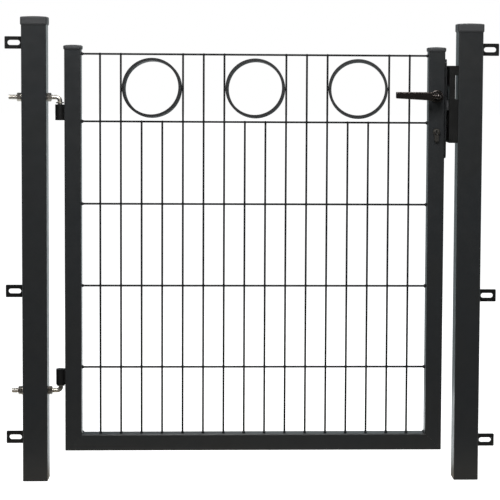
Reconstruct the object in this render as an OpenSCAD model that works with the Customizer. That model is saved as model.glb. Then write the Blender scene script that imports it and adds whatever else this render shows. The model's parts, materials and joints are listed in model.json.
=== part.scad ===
// Garden gate of welded wire mesh in a U-shaped frame of square tube, hung between two posts.
// The frame has no top rail: the mesh ends in a single top wire, and three rolled rings sit in its top row.
// It hangs on two hook bolts and closes with a mortise lock, a lever in front and a turning knob behind.
// The two posts are alike, and the latch post stands a little deeper in the ground.
// X runs from the hinge post to the latch post, the front faces -Y, and Z is up from the ground.
// The origin is the centre of the hinge post's foot.

/* [Posts] */
// Width of a post's square tube
post_w = 60; // [50:1:70]
// Wall of a post
post_wall = 2; // [1.5:0.5:4]
// How far the hinge post's tube stands above the leaf's stiles
post_rise = 68; // [40:1:200]
// How much deeper in the ground the latch post stands
latch_post_drop = 10; // [0:1:20]
// Outside corner radius of the posts' tube
post_corner_r = 3.5; // [3:0.5:5]
// How far a cap's skirt reaches down a post
post_cap_skirt = 17; // [10:1:25]

/* [Fence tabs] */
// How far a tab stands out from its post
tab_l = 42; // [40:1:60]
// Height of a tab
tab_h = 30; // [24:1:40]
// Thickness of a tab
tab_t = 5; // [3:0.5:6]
// Length of a tab's slot, end to end
slot_l = 30; // [20:1:32]
// Width of a tab's slot
slot_w = 12; // [8:1:14]
// Distance from the post's side to the middle of the slot
slot_out = 20; // [18:1:22]
// Radius of a tab's outer corners
tab_corner_r = 2; // [1:0.5:5]
// Distance from a post's top down to the middle of its top tab
tab_top_drop = 59; // [40:1:100]
// Height of the middle tab's middle, on the hinge post
tab_middle_z = 463; // [350:1:600]
// Height of the bottom tab's middle, on the hinge post
tab_bottom_z = 104; // [60:1:180]

/* [Leaf] */
// Width of the leaf's frame
leaf_w = 920; // [800:1:1400]
// Height of the ground under the leaf
leaf_z = 73; // [40:1:100]
// Height of the leaf's stiles
leaf_h = 983; // [850:1:1600]
// Width of the frame's square tube
tube_w = 40; // [38:1:44]
// Wall of the frame's tube
tube_wall = 2; // [1.5:0.5:3]
// Outside corner radius of the frame's tube
tube_corner_r = 3; // [2.5:0.5:5]
// Gap between the hinge post and the leaf
hinge_gap = 42; // [41:1:50]
// Gap between the leaf and the latch post
latch_gap = 31; // [29:1:36]
// How far a cap's skirt reaches down a stile
stile_cap_skirt = 7; // [5:1:15]

/* [Caps] */
// Wall of a plastic cap
cap_wall = 1.8; // [1.2:0.1:2.5]
// How far a cap's top bulges
cap_dome = 2.5; // [2:0.5:6]
// Rounding of a cap's top edges
cap_round = 4; // [3:0.5:5]
// How far the foot of a cap's skirt draws in
cap_draft = 1.2; // [0:0.2:1.2]

/* [Mesh] */
// Diameter of the mesh wire
wire_d = 5; // [3:0.5:6]
// Distance between upright wires
wire_pitch = 50; // [45:1:55]
// Distance between the cross wires, apart from the end rows
row_pitch = 200; // [150:1:220]
// Distance from the stiles' top down to the top wire
top_wire_drop = 17; // [12:1:60]
// How deep crossing wires are welded into each other
weld_depth = 0.6; // [0.3:0.1:1]

/* [Rings] */
// Gap between a ring and the wire at each side of it
ring_gap = 0.5; // [0.5:0.5:5]
// Least gap between a ring and the cross wires above and below it
ring_head = 8; // [5:0.5:40]
// Depth of the flat bar that a ring is rolled from
ring_depth = 22; // [12:1:30]
// Thickness of the flat bar
ring_bar_t = 6.5; // [3:0.5:8]
// How far a ring leans, its back edge lower than its front, in degrees
ring_lean = 8; // [0:1:8]
// How far a ring is turned, its back edge nearer the latch post, in degrees
ring_turn = 6; // [0:1:8]
// Diameter of a weld bead between a ring and its wire
bead_d = 7; // [6:0.5:9]
// Number of wire spaces left at the outer side of the left and right rings
side_bays = 1; // [0:1:2]

/* [Hinges] */
// Diameter of the hook bolts
bolt_d = 11; // [9:0.5:12]
// Distance from the stiles' top down to the upper hook bolt
upper_bolt_drop = 122; // [80:1:250]
// Distance from the leaf's bottom up to the lower hook bolt
lower_bolt_rise = 146; // [80:1:250]
// How far the upper bolt's threaded end stands out past its outer nut
upper_bolt_end = 20; // [5:1:25]
// How far the lower bolt's threaded end stands out past its outer nut
lower_bolt_end = 16; // [5:1:25]
// Radius of the bend between a bolt and its pin, at its middle
bend_r = 9; // [8:0.5:12]
// Outside diameter of the sleeves
sleeve_d = 23; // [20:1:25]
// Length of the sleeves
sleeve_l = 38; // [30:1:60]
// Distance from the lower bolt's middle line to its sleeve, which rests on the collar
sleeve_drop = 15; // [13:0.5:20]
// Play above the upper sleeve, between it and its collar
upper_play = 2.5; // [1:0.5:5]
// How far a pin's end stays inside its sleeve
pin_short = 5; // [0:0.5:10]
// Radial play of a pin in its sleeve
pin_play = 0.08; // [0.05:0.01:0.1]
// Diameter of the collar on a pin
collar_d = 19; // [17:1:24]
// Thickness of the collar
collar_t = 3; // [2:0.5:4]
// Width of the nuts across their flats
nut_af = 18; // [18:1:20]
// Height of the nuts
nut_h = 9.5; // [8:0.5:10]
// Diameter of the washers
washer_d = 24; // [22:1:28]
// Thickness of the washers
washer_t = 2.5; // [2:0.5:3]

/* [Lock] */
// Distance from the stiles' top down to the lever's spindle
spindle_drop = 114; // [110:1:300]
// Width of the square spindle
spindle_w = 8; // [7:0.5:9]
// Radius of the follower that the spindle turns
follower_r = 8; // [7:0.25:8.5]
// Radial play of the turning pieces
turn_play = 0.08; // [0.05:0.01:0.1]
// Distance from the spindle down to the round part of the lock cylinder
cylinder_drop = 87; // [80:1:92]
// Diameter of the round part of the lock cylinder
cylinder_d = 17; // [16:0.5:18]
// Width of the narrow part of the lock cylinder
cylinder_slot_w = 10; // [9:0.5:11]
// Height of the lock cylinder
cylinder_h = 33; // [32:1:34]
// How far the lock cylinder stands out of the stile, in front and behind
cylinder_out = 7; // [2:0.5:10]
// Diameter of the plug that the key turns
plug_d = 12.5; // [11:0.5:14]
// Height of the keyway
keyway_h = 9; // [7:0.5:10]
// Width of the keyway
keyway_w = 2.5; // [1.5:0.5:3]
// Thickness of the lock case
case_t = 14; // [12:1:16]
// Depth of the lock case
case_d = 35; // [33:0.5:35.5]
// Height of the lock case
case_h = 165; // [160:1:170]
// Distance from the spindle down to the middle of the lock case
case_drop = 40; // [38:1:44]
// Width of the lock's face plate
plate_w = 22; // [20:1:26]
// Thickness of the lock's face plate
plate_t = 4.5; // [2:0.5:5]
// Height of the lock's face plate
plate_h = 242; // [235:1:245]
// Distance from the spindle down to the middle of the face plate
plate_drop = 31; // [28:1:34]
// Height of the latch bolt's head
latch_h = 24; // [20:1:24]
// Thickness of the latch bolt
latch_t = 12; // [10:1:13]
// Distance from the spindle down to the middle of the latch bolt
latch_drop = 22.5; // [22:0.5:26]
// How far the latch bolt stands out of the face plate
latch_out = 13; // [12:0.5:14]
// How deep the latch bolt's head sits in the case
latch_tail = 8; // [6:0.5:9]
// Height of the locking bolt
lock_bolt_h = 20; // [16:1:22]
// Thickness of the locking bolt
lock_bolt_t = 8; // [6:1:10]
// How deep the locking bolt sits in the case
lock_bolt_l = 14; // [10:1:18]
// Distance from the spindle down to the middle of the locking bolt
lock_bolt_drop = 56; // [54:1:60]

/* [Handles] */
// Diameter of the roses
rose_d = 30; // [29:1:36]
// Thickness of the roses
rose_t = 8; // [6:1:10]
// Radius of the lever's and the knob's neck
neck_r = 7.5; // [7:0.5:9]
// Distance from the tube's front to the middle of the lever's grip
grip_out = 38; // [34:1:44]
// Length of the grip, from the spindle to its tip
grip_l = 103; // [80:1:130]
// Height of the grip at its tip
grip_tip_h = 16; // [12:1:18]
// Height of the grip at the neck
grip_root_h = 20.5; // [18:0.5:24]
// Thickness of the grip
grip_t = 13; // [10:1:16]
// How far the grip's thick end stays from the spindle's axis
hub_l = 14; // [10:1:18]
// Diameter of the round bar between the neck and the grip
hub_d = 12; // [9:0.5:12.5]
// Radius of the grip's rounded edges
grip_round = 2.5; // [2:0.5:5]
// Diameter of the knob
knob_d = 34; // [30:1:36]
// Depth of the knob
knob_l = 20; // [16:1:24]
// Distance from the tube's back to the knob
knob_out = 20; // [18:1:30]

/* [Keep] */
// Play of the bolts in the keep's striking face
keep_play = 3; // [2:0.5:4]
// Height of the keep
keep_h = 187; // [170:1:200]
// Thickness of the keep's sheet
keep_t = 3; // [2:0.5:3]
// Gap between the face plate and the keep
keep_gap = 5; // [4:0.5:6]
// Distance from the spindle down to the middle of the keep
keep_drop = 20; // [16:1:24]
// How far the keep's striking face reaches behind the leaf's middle plane
strike_back = 13; // [10:1:16]
// Gap between the back of the leaf and the stop
stop_gap = 5; // [2:0.5:7]
// How far the stop reaches behind the stile
stop_lap = 6; // [4:0.5:7]
// Distance from the post's front plane back to the front lip
lip_inset = 2; // [0:0.5:5]
// Width of the relief slot in the front lip
relief_w = 4; // [4:0.5:6]
// Height of the relief slot
relief_h = 58; // [50:1:60]

/* [Hidden] */
$fn = 48;

eps = 0.01;
far = 2000;
// Clearance between pieces that are welded, pressed or screwed together
seat = 0.3;
// Play of a bolt in a hole that it only passes through
hole_play = 0.5;
// Radial gap between a nut's bore and the top of its bolt's threads
nut_play = 0.1;
// Play of the spindle in the holes that it turns
spindle_play = 0.1;
// Gap between the stop and the back handle
handle_clear = 6;

coat = [0.2, 0.21, 0.22];
black_coat = [0.09, 0.09, 0.09];
plastic = [0.28, 0.28, 0.28];
zinc = [0.78, 0.77, 0.73];
bronze = [0.16, 0.13, 0.11];

post_r = post_w / 2;
tube_r = tube_w / 2;
hinge_stile_x = post_r + hinge_gap + tube_r;
latch_stile_x = hinge_stile_x + leaf_w - tube_w;
leaf_right_x = latch_stile_x + tube_r;
latch_post_x = leaf_right_x + latch_gap + post_r;
keep_post_x = latch_post_x - post_r;
leaf_top_z = leaf_z + leaf_h;
hinge_post_h = leaf_top_z + post_rise;
latch_post_h = hinge_post_h - latch_post_drop;
tab_top_z = hinge_post_h - tab_top_drop;
rail_top_z = leaf_z + tube_w;

mesh_middle_x = (hinge_stile_x + latch_stile_x) / 2;
wire_r = wire_d / 2;
wire_y = (wire_d - weld_depth) / 2;
// The mesh is cut from sheets of one pitch, and what is left over goes to its four sides
wire_count = 2 * floor((leaf_w - 2 * tube_w) / (2 * wire_pitch));
// Number of wire spaces that a ring fills, an odd one so that the middle ring is in the middle
ring_span = 3;
ring_d = ring_span * wire_pitch - wire_d - 2 * ring_gap;
mesh_h = leaf_h - tube_w - top_wire_drop;
row_count = 1 + floor((mesh_h - 2 * (ring_d + 2 * ring_head)) / row_pitch);
end_row_h = (mesh_h - (row_count - 1) * row_pitch) / 2;
last_row_z = rail_top_z + end_row_h + (row_count - 1) * row_pitch;
top_wire_z = leaf_top_z - top_wire_drop;
ring_z = (last_row_z + top_wire_z) / 2;
// First wire of each ring's bay, counted from 0
middle_bay = (wire_count - 1 - ring_span) / 2;
ring_step = middle_bay - side_bays;
ring_bays = [middle_bay - ring_step, middle_bay, middle_bay + ring_step];

bolt_r = bolt_d / 2;
upper_bolt_z = leaf_top_z - upper_bolt_drop;
lower_bolt_z = leaf_z + lower_bolt_rise;
pin_x = hinge_stile_x - tube_r - seat - sleeve_d / 2;
sleeve_bore_r = bolt_r + pin_play;
nut_bore_r = bolt_r + nut_play;
outer_nut_x = -post_r - 2 * seat - washer_t - nut_h;

spindle_z = leaf_top_z - spindle_drop;
face_x = leaf_right_x + seat;
face_out_x = face_x + plate_t;
case_x = leaf_right_x - case_d;
strike_x = face_out_x + keep_gap;
keep_z = spindle_z - keep_drop;
keep_back_x = keep_post_x - seat;
lip_y = -post_r + lip_inset;
stop_y = tube_r + stop_gap;
stop_x = leaf_right_x - stop_lap;
stop_notch_h = max(rose_d, knob_d) + 2 * handle_clear;
latch_z = spindle_z - latch_drop;
lock_bolt_z = spindle_z - lock_bolt_drop;
cylinder_z = spindle_z - cylinder_drop;
// The latch bolt draws back until its tip is flush with the face plate
latch_travel = latch_out;
rose_y = tube_r + seat;

// ---------- shapes used by several pieces ----------

// A square with true round corners, centred on the origin
module rounded_square(w, r) {
    square([w, w - 2 * r], center = true);
    square([w - 2 * r, w], center = true);
    for (x = [-1, 1], y = [-1, 1])
        translate([x * (w / 2 - r), y * (w / 2 - r)]) circle(r);
}

// Upright square tube standing on z = 0
module square_tube(w, wall, r, h) {
    difference() {
        linear_extrude(h) rounded_square(w, r);
        translate([0, 0, -eps]) linear_extrude(h + 2 * eps) rounded_square(w - 2 * wall, r - wall);
    }
}

// Cap pulled over a square tube whose end is at z = 0, with a top cut from a sphere
module tube_cap(w, r, skirt) {
    outer_w = w + 2 * (seat + cap_wall);
    outer_r = r + seat + cap_wall;
    corner = outer_w / sqrt(2) - outer_r * (sqrt(2) - 1);
    plate = seat + cap_wall;
    dome_r = (corner * corner + cap_dome * cap_dome) / (2 * cap_dome);
    edge_z = plate + cap_dome / 2;
    draft_h = min(2 * cap_wall, skirt / 2);
    difference() {
        intersection() {
            translate([0, 0, -skirt]) linear_extrude(skirt + plate + cap_dome + 1)
                rounded_square(outer_w, outer_r);
            translate([0, 0, plate + cap_dome - dome_r]) sphere(dome_r, $fn = 180);
        }
        translate([0, 0, -skirt - 1]) linear_extrude(skirt + 1 + seat)
            rounded_square(w + 2 * seat, r + seat);
        for (side = [0:90:270]) rotate(side) {
            // Two flats round each top edge, and one draws the foot of the skirt in
            for (a = [30, 60])
                translate([outer_w / 2 - cap_round * (1 - cos(a)), 0, edge_z - cap_round * (1 - sin(a))])
                    rotate([0, -a, 0]) translate([0, -w, -w]) cube([w, 2 * w, 2 * w]);
            translate([outer_w / 2, 0, draft_h - skirt]) rotate([0, atan(cap_draft / draft_h), 0])
                translate([0, -w, -w]) cube([w, 2 * w, 2 * w]);
        }
    }
}

// Bar along Y with an outline drawn in X and Z, from y = from to y = from + depth
module along_y(from, depth) {
    translate([0, from + depth, 0]) rotate([90, 0, 0]) linear_extrude(depth) children();
}

// Bar along X with an outline drawn in Y and Z, from x = from to x = from + depth
module along_x(from, depth) {
    translate([from, 0, 0]) rotate([90, 0, 90]) linear_extrude(depth) children();
}

// A slot outline with round ends, its length along the first axis
module slot_outline(l, w) {
    square([l - w, w], center = true);
    for (s = [-1, 1]) translate([s * (l - w) / 2, 0]) circle(w / 2);
}

// The outline of a profile cylinder, its round part centred on the origin
module cylinder_outline(play) {
    circle(cylinder_d / 2 + play);
    low = cylinder_h - cylinder_d / 2 - cylinder_slot_w / 2;
    translate([-cylinder_slot_w / 2 - play, -low]) square([cylinder_slot_w + 2 * play, low]);
    translate([0, -low]) circle(cylinder_slot_w / 2 + play);
}

// ---------- posts ----------

module hinge_post() {
    color(coat) difference() {
        square_tube(post_w, post_wall, post_corner_r, hinge_post_h);
        for (z = [upper_bolt_z, lower_bolt_z])
            translate([-post_w, 0, z]) rotate([0, 90, 0]) cylinder(h = 2 * post_w, r = bolt_r + hole_play);
    }
}

module latch_post() {
    color(coat) translate([latch_post_x, 0, 0])
        square_tube(post_w, post_wall, post_corner_r, latch_post_h);
}

module post_cap(x, h) {
    color(plastic) translate([x, 0, h]) tube_cap(post_w, post_corner_r, post_cap_skirt);
}

// Flat tab on the outer side of a post: side is -1 on the hinge post and 1 on the latch post
module fence_tab(x, side, z) {
    color(black_coat) translate([x, 0, z]) mirror([side < 0 ? 1 : 0, 0, 0])
        along_y(-tab_t / 2, tab_t) difference() {
            union() {
                translate([post_r + seat, -tab_h / 2]) square([tab_l - seat - tab_corner_r, tab_h]);
                translate([post_r + seat, tab_corner_r - tab_h / 2]) square([tab_l - seat, tab_h - 2 * tab_corner_r]);
                for (s = [-1, 1])
                    translate([post_r + tab_l - tab_corner_r, s * (tab_h / 2 - tab_corner_r)]) circle(tab_corner_r);
            }
            translate([post_r + slot_out, 0]) slot_outline(slot_l, slot_w);
        }
}

// ---------- hook bolts ----------

// Bolt through the post with its pin bent by 90 degrees: up is 1 for a pin that points up, -1 for down
module hook_bolt(z, up, end) {
    bolt_start_x = outer_nut_x - end;
    pin_l = sleeve_drop + sleeve_l - bend_r - pin_short;
    collar_z = sleeve_drop - seat - collar_t;
    color(zinc) translate([0, 0, z]) mirror([0, 0, up < 0 ? 1 : 0]) {
        translate([bolt_start_x, 0, 0]) rotate([0, 90, 0])
            cylinder(h = pin_x - bend_r - bolt_start_x, r = bolt_r);
        translate([pin_x - bend_r, 0, bend_r]) rotate([90, 90, 0])
            rotate_extrude(angle = 90) translate([bend_r, 0]) circle(bolt_r);
        translate([pin_x, 0, bend_r]) cylinder(h = pin_l, r = bolt_r);
        translate([pin_x, 0, collar_z]) cylinder(h = collar_t, d = collar_d);
    }
}

// Hexagon nut along X with chamfered corners, from x to x + nut_h
module nut(x, z) {
    flat_r = nut_af / 2;
    corner_r = flat_r / cos(30);
    outer_r = corner_r + 1;
    chamfer = (outer_r - flat_r) * tan(30);
    color(zinc) translate([x, 0, z]) rotate([0, 90, 0]) difference() {
        intersection() {
            cylinder(h = nut_h, r = corner_r, $fn = 6);
            rotate_extrude() polygon([
                [0, 0], [flat_r, 0], [outer_r, chamfer],
                [outer_r, nut_h - chamfer], [flat_r, nut_h], [0, nut_h]
            ]);
        }
        translate([0, 0, -eps]) cylinder(h = nut_h + 2 * eps, r = nut_bore_r);
    }
}

module washer(z) {
    color(zinc) translate([-post_r - seat - washer_t, 0, z]) rotate([0, 90, 0]) difference() {
        cylinder(h = washer_t, d = washer_d);
        translate([0, 0, -eps]) cylinder(h = washer_t + 2 * eps, r = bolt_r + hole_play);
    }
}

// Sleeve welded to the hinge stile: up is 1 above its bolt and -1 below it, play is its gap to the collar
module hinge_sleeve(z, up, play) {
    color(black_coat) translate([pin_x, 0, z + up * (sleeve_drop + play + sleeve_l / 2)]) difference() {
        cylinder(h = sleeve_l, d = sleeve_d, center = true);
        cylinder(h = sleeve_l + 2 * eps, r = sleeve_bore_r, center = true);
    }
}

// ---------- frame of the leaf ----------

// What a 45 degree mitre through (x, z) cuts off: up is 1 above it and -1 below it,
// and side is -1 at the hinge stile's corner and 1 at the latch stile's
module mitre_cut(x, z, side, up) {
    translate([x, 0, z]) rotate([0, side * 45, 0])
        translate([-far / 2, -far / 2, up > 0 ? 0 : -far]) cube(far);
}

module stile_tube(x) {
    translate([x, 0, leaf_z]) square_tube(tube_w, tube_wall, tube_corner_r, leaf_h);
}

module hinge_stile() {
    color(coat) difference() {
        stile_tube(hinge_stile_x);
        mitre_cut(hinge_stile_x, leaf_z + tube_r + seat / 2, -1, -1);
    }
}

module latch_stile() {
    color(coat) difference() {
        stile_tube(latch_stile_x);
        mitre_cut(latch_stile_x, leaf_z + tube_r + seat / 2, 1, -1);
        translate([latch_stile_x, -case_t / 2 - seat, spindle_z - case_drop - case_h / 2 - seat])
            cube([tube_w, case_t + 2 * seat, case_h + 2 * seat]);
        translate([latch_stile_x, 0, spindle_z]) rotate([90, 0, 0])
            cylinder(h = 2 * tube_w, r = neck_r + hole_play, center = true);
        translate([latch_stile_x, 0, cylinder_z]) along_y(-tube_w, 2 * tube_w) cylinder_outline(hole_play);
    }
}

module bottom_rail() {
    left = hinge_stile_x - tube_r;
    color(coat) difference() {
        translate([left, 0, leaf_z + tube_r]) rotate([0, 90, 0])
            square_tube(tube_w, tube_wall, tube_corner_r, leaf_w);
        mitre_cut(hinge_stile_x, leaf_z + tube_r - seat / 2, -1, 1);
        mitre_cut(latch_stile_x, leaf_z + tube_r - seat / 2, 1, 1);
    }
}

module stile_cap(x) {
    color(plastic) translate([x, 0, leaf_top_z]) tube_cap(tube_w, tube_corner_r, stile_cap_skirt);
}

// ---------- mesh and rings ----------

function wire_x(i) = mesh_middle_x + (i - (wire_count - 1) / 2) * wire_pitch;

// True for a wire that ends under a ring
function under_ring(i) = len([for (b = ring_bays) if (i > b && i < b + ring_span) 1]) > 0;

module cross_wire(z) {
    left = hinge_stile_x + tube_r + seat;
    right = latch_stile_x - tube_r - seat;
    translate([left, wire_y, z]) rotate([0, 90, 0]) rotate([0, 0, 15]) cylinder(h = right - left, r = wire_r, $fn = 12);
}

module wire_mesh() {
    foot = rail_top_z + seat;
    color(coat) union() {
        for (row = [0:row_count - 1]) cross_wire(rail_top_z + end_row_h + row * row_pitch);
        cross_wire(top_wire_z);
        for (i = [0:wire_count - 1]) {
            top = (under_ring(i) ? last_row_z : top_wire_z) + wire_r;
            translate([wire_x(i), -wire_y, foot]) rotate([0, 0, 15])
                cylinder(h = top - foot, r = wire_r, $fn = 12);
        }
    }
}

// Ring of rolled flat bar, held by a weld bead on the wire at each side of its bay
module ring(bay) {
    x = (wire_x(bay) + wire_x(bay + ring_span)) / 2;
    bead_x = (wire_x(bay + ring_span) - wire_x(bay)) / 2 - wire_r;
    color(coat) translate([x, 0, ring_z]) difference() {
        union() {
            rotate([90 - ring_lean, 0, -ring_turn])
                cylinder(h = ring_depth, d = ring_d, center = true, $fn = 96);
            for (s = [-1, 1]) translate([s * bead_x, -wire_y, 0]) sphere(d = bead_d);
        }
        rotate([90 - ring_lean, 0, -ring_turn])
            cylinder(h = 4 * ring_depth, d = ring_d - 2 * ring_bar_t, center = true, $fn = 96);
        for (s = [-1, 1]) translate([s * (bead_x + wire_r), -wire_y, -ring_d])
            cylinder(h = 2 * ring_d, r = wire_r + seat / 2);
    }
}

// ---------- lock ----------

module lock_case() {
    color(zinc) translate([case_x, 0, 0]) difference() {
        translate([0, -case_t / 2, spindle_z - case_drop - case_h / 2]) cube([case_d, case_t, case_h]);
        translate([latch_stile_x - case_x, 0, spindle_z]) rotate([90, 0, 0])
            cylinder(h = 2 * case_t, r = follower_r + turn_play, center = true);
        translate([latch_stile_x - case_x, 0, cylinder_z]) along_y(-case_t, 2 * case_t) cylinder_outline(seat);
        translate([case_d - latch_tail - latch_travel - seat, -latch_t / 2 - seat, latch_z - latch_h / 2 - seat])
            cube([case_d, latch_t + 2 * seat, latch_h + 2 * seat]);
        translate([case_d - lock_bolt_l, -lock_bolt_t / 2 - seat, lock_bolt_z - lock_bolt_h / 2 - seat])
            cube([case_d, lock_bolt_t + 2 * seat, lock_bolt_h + 2 * seat]);
    }
}

module lock_face_plate() {
    color(zinc) translate([0, 0, spindle_z - plate_drop]) difference() {
        along_x(face_x, plate_t) rotate(90) slot_outline(plate_h, plate_w);
        translate([face_x - 1, -latch_t / 2 - seat, plate_drop - latch_drop - latch_h / 2 - seat])
            cube([plate_t + 2, latch_t + 2 * seat, latch_h + 2 * seat]);
        translate([face_x - 1, -lock_bolt_t / 2 - seat, plate_drop - lock_bolt_drop - lock_bolt_h / 2 - seat])
            cube([plate_t + 2, lock_bolt_t + 2 * seat, lock_bolt_h + 2 * seat]);
    }
}

module locking_bolt() {
    start = leaf_right_x - lock_bolt_l + seat;
    color(zinc) translate([start, -lock_bolt_t / 2, lock_bolt_z - lock_bolt_h / 2])
        cube([face_out_x - start, lock_bolt_t, lock_bolt_h]);
}

// Profile cylinder through the stile and the lock, with a plug and a keyway at both ends
module lock_cylinder() {
    plug_out = 0.6;
    half_l = tube_r + cylinder_out;
    color(bronze) translate([latch_stile_x, 0, cylinder_z]) difference() {
        union() {
            along_y(-half_l, 2 * half_l) cylinder_outline(0);
            rotate([90, 0, 0]) cylinder(h = 2 * (half_l + plug_out), d = plug_d, center = true);
        }
        for (s = [-1, 1]) translate([0, s * (half_l + plug_out), 0])
            cube([keyway_w, 2 * keyway_w, keyway_h], center = true);
    }
}

// Latch bolt whose nose slopes on the side that meets the keep as the gate closes
module latch_bolt() {
    start = leaf_right_x - latch_tail;
    tip = face_out_x + latch_out;
    color(zinc) translate([0, 0, latch_z - latch_h / 2]) linear_extrude(latch_h)
        polygon([
            [start, -latch_t / 2], [tip, -latch_t / 2], [tip, -latch_t / 2 + 2],
            [face_out_x + 1.5, latch_t / 2], [start, latch_t / 2]
        ]);
}

// ---------- handles ----------

// Round rose on the tube: side is -1 in front and 1 behind
module rose(side) {
    round_r = 2.5;
    color(bronze) translate([latch_stile_x, side * rose_y, spindle_z]) rotate([-90 * side, 0, 0])
        rotate_extrude() difference() {
            union() {
                square([rose_d / 2 - round_r, rose_t]);
                square([rose_d / 2, rose_t - round_r]);
                translate([rose_d / 2 - round_r, rose_t - round_r]) circle(round_r);
            }
            translate([-1, -1]) square([neck_r + turn_play + 1, rose_t + 2]);
        }
}

module spindle() {
    color(zinc) translate([latch_stile_x, 0, spindle_z])
        cube([spindle_w, 2 * (tube_r + rose_t), spindle_w], center = true);
}

// Follower in the lock case, turned by the spindle through its square hole
module lock_follower() {
    hole = spindle_w + 2 * spindle_play;
    color(zinc) translate([latch_stile_x, 0, spindle_z]) difference() {
        rotate([90, 0, 0]) cylinder(h = case_t, r = follower_r, center = true);
        cube([hole, 2 * case_t, hole], center = true);
    }
}

// Square hole for the spindle's ends, through both handles
module spindle_hole() {
    hole = spindle_w + 2 * spindle_play;
    cube([hole, 2 * (tube_r + rose_t + 1), hole], center = true);
}

// Lever: a round neck through the rose, a ball and a round bar that turn the corner, and a tapered grip that points
// at the hinge side
module lever() {
    grip_y = -tube_r - grip_out;
    half_t = grip_t / 2 - grip_round;
    top_z = grip_root_h / 2 - grip_round;
    color(bronze) translate([latch_stile_x, 0, spindle_z]) difference() {
        union() {
            translate([0, grip_y, 0]) rotate([-90, 0, 0]) cylinder(h = grip_out - seat, r = neck_r);
            translate([0, grip_y, 0]) sphere(neck_r + 0.3);
            translate([0, grip_y, 0]) rotate([0, -90, 0]) cylinder(h = hub_l + 2 * grip_round, d = hub_d);
            translate([0, grip_y, 0]) hull() for (y = [-half_t, half_t]) {
                for (z = [top_z, -top_z]) translate([-hub_l - grip_round, y, z]) sphere(grip_round, $fn = 20);
                for (z = [top_z, top_z - grip_tip_h + 2 * grip_round])
                    translate([-grip_l + grip_round, y, z]) sphere(grip_round, $fn = 20);
            }
        }
        spindle_hole();
    }
}

// Knob: a round neck through the back rose and a rounded grip
module knob() {
    neck_l = knob_out - seat;
    rim = 5;
    color(bronze) translate([latch_stile_x, 0, spindle_z]) difference() {
        translate([0, tube_r + seat, 0]) rotate([-90, 0, 0]) rotate_extrude() {
            square([neck_r, neck_l + 1]);
            translate([0, neck_l]) square([knob_d / 2 - rim, knob_l]);
            translate([0, neck_l + rim]) square([knob_d / 2, knob_l - 2 * rim]);
            for (z = [rim, knob_l - rim]) translate([knob_d / 2 - rim, neck_l + z]) circle(rim);
        }
        spindle_hole();
    }
}

// ---------- keep ----------

// Folded sheet on the latch post: striking face, front lip, web on the post and notched stop behind the stile
module keep() {
    bottom = keep_z - keep_h / 2;
    stop_back_y = stop_y + keep_t;
    color(black_coat) difference() {
        union() {
            translate([0, 0, bottom]) linear_extrude(keep_h) union() {
                translate([strike_x, lip_y]) square([keep_t, strike_back - lip_y]);
                translate([strike_x, lip_y]) square([keep_back_x - strike_x, keep_t]);
                translate([keep_back_x - keep_t, lip_y]) square([keep_t, stop_back_y - lip_y]);
            }
            translate([stop_x, stop_y, bottom]) cube([keep_back_x - stop_x, keep_t, keep_h]);
        }
        // Notch beside the back handle, which leaves the stop up to the stile's side
        translate([stop_x - 1, stop_y - 1, spindle_z - stop_notch_h / 2])
            cube([face_out_x - stop_x + 1, keep_t + 2, stop_notch_h]);
        for (b = [[latch_z, latch_h, latch_t], [lock_bolt_z, lock_bolt_h, lock_bolt_t]])
            translate([strike_x - 1, -b[2] / 2 - keep_play, b[0] - b[1] / 2 - keep_play])
                cube([keep_t + 2, b[2] + 2 * keep_play, b[1] + 2 * keep_play]);
        // Window in the corner of lip, web and stop, which leaves the post's side in sight
        translate([keep_back_x - keep_t - relief_w, lip_y - 1, latch_z + latch_h / 2 + keep_play])
            cube([keep_t + relief_w + 1, stop_back_y - lip_y + 2, relief_h]);
    }
}

hinge_post();
post_cap(0, hinge_post_h);  // hinge_post_cap
fence_tab(0, -1, tab_top_z);  // hinge_post_tab_top
fence_tab(0, -1, tab_middle_z);  // hinge_post_tab_middle
fence_tab(0, -1, tab_bottom_z);  // hinge_post_tab_bottom
latch_post();
post_cap(latch_post_x, latch_post_h);  // latch_post_cap
fence_tab(latch_post_x, 1, tab_top_z - latch_post_drop);  // latch_post_tab_top
fence_tab(latch_post_x, 1, tab_middle_z - latch_post_drop);  // latch_post_tab_middle
fence_tab(latch_post_x, 1, tab_bottom_z - latch_post_drop);  // latch_post_tab_bottom
hook_bolt(upper_bolt_z, -1, upper_bolt_end);  // hook_bolt_upper
hook_bolt(lower_bolt_z, 1, lower_bolt_end);  // hook_bolt_lower
nut(outer_nut_x, upper_bolt_z);  // nut_upper_outer
nut(post_r + seat, upper_bolt_z);  // nut_upper_inner
nut(outer_nut_x, lower_bolt_z);  // nut_lower_outer
nut(post_r + seat, lower_bolt_z);  // nut_lower_inner
washer(upper_bolt_z);  // washer_upper
washer(lower_bolt_z);  // washer_lower
keep();
hinge_stile();
latch_stile();
bottom_rail();
stile_cap(hinge_stile_x);  // hinge_stile_cap
stile_cap(latch_stile_x);  // latch_stile_cap
wire_mesh();
ring(ring_bays[0]);  // ring_left
ring(ring_bays[1]);  // ring_middle
ring(ring_bays[2]);  // ring_right
hinge_sleeve(upper_bolt_z, -1, upper_play);  // hinge_sleeve_upper
hinge_sleeve(lower_bolt_z, 1, 0);  // hinge_sleeve_lower
lock_case();
lock_face_plate();
locking_bolt();
lock_cylinder();
rose(-1);  // rose_front
rose(1);  // rose_back
lever();
spindle();
lock_follower();
knob();
latch_bolt();
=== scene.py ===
# %% [markdown]
# # A garden gate of welded wire mesh
#
# The real gate is a U of square steel tube that carries a sheet of welded wire mesh and three rolled rings.
# It hangs on two hook bolts between two square posts, and it shuts with a mortise lock.
# Its hard parts arrive ready-made and exact from the CAD model, so this file makes what CAD leaves out:
# the weld beads, the threads and screws, the finish of every surface, and the studio around them.
# Everything is in metres: X runs from the hinge post to the latch post, the front faces -Y, and Z is up.

# %% Load the CAD model
import json
import math
import random

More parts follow.
